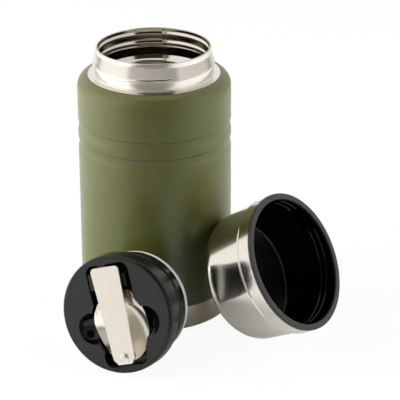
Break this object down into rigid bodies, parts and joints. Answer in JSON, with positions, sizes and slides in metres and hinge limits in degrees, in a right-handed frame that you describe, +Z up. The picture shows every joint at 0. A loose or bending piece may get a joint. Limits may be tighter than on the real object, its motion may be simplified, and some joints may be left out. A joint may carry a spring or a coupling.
{
  "type": "insulated food jar",
  "caption": "Open double-walled steel food jar with its screw-in stopper, which holds a folding spoon in a recess, and its steel cup lid leaning on the jar.",
  "frame": {"origin": "centre of the flat bottom of the jar, on the surface it stands on", "axes": "+Z up along the jar's axis, towards the mouth; -Y towards the stopper in front of the jar; +X towards the cup lid at the right"},
  "size_m": [0.1784, 0.1686, 0.1818],
  "materials": {
    "powder_coat": "satin, fine texture",
    "brushed_steel": "brushed",
    "polished_steel": "polished",
    "spoon_steel": "satin",
    "dark_moulding": "matt",
    "black_moulding": "glossy",
    "silicone": "matt",
    "foam": "open",
    "foil": "bright",
    "bead_glass": "glossy",
    "getter_metal": "sintered"
  },
  "bodies": {
    "jar": {"outer_shell": "powder_coat", "base_cup": "brushed_steel", "vacuum_bottom": "brushed_steel", "vacuum_bead": "bead_glass", "inner_vessel": "brushed_steel", "inner_bottom": "brushed_steel", "foil_wrap": "foil", "getter": "getter_metal", "getter_clip": "brushed_steel"},
    "stopper": {"stopper_head": "dark_moulding", "stopper_body": "black_moulding", "stopper_foam": "foam", "stopper_gasket": "silicone"},
    "spoon": {"spoon_bowl": "spoon_steel", "spoon_neck_rivet": "spoon_steel", "spoon_spacer": "spoon_steel"},
    "link": {"spoon_link": "spoon_steel", "spoon_link_rivet": "spoon_steel", "spoon_washer": "spoon_steel"},
    "handle": {"spoon_handle": "spoon_steel"},
    "cup": {"cup_shell": "polished_steel", "cup_liner": "black_moulding", "cup_foam": "foam"}
  },
  "joints": [
    {"name": "stopper_lift", "type": "slide", "parent": "jar", "child": "stopper", "axis": [0, 0, 1], "range_m": [0, 0.2]},
    {"name": "cup_lift", "type": "slide", "parent": "jar", "child": "cup", "axis": [0, 0, 1], "range_m": [0, 0.2]},
    {"name": "spoon_out", "type": "slide", "parent": "stopper", "child": "spoon", "axis": [-0.4011, -0.8966, 0.1879], "range_m": [0, 0.06]},
    {"name": "link_turn", "type": "hinge", "parent": "spoon", "child": "link", "pos_m": [-0.02565, -0.10007, 0.04944], "axis": [-0.4011, -0.8966, 0.1879], "range_deg": [0, 180]},
    {"name": "handle_turn", "type": "hinge", "parent": "link", "child": "handle", "pos_m": [-0.01819, -0.11254, 0.0144], "axis": [-0.4011, -0.8966, 0.1879], "range_deg": [-180, 0]}
  ]
}
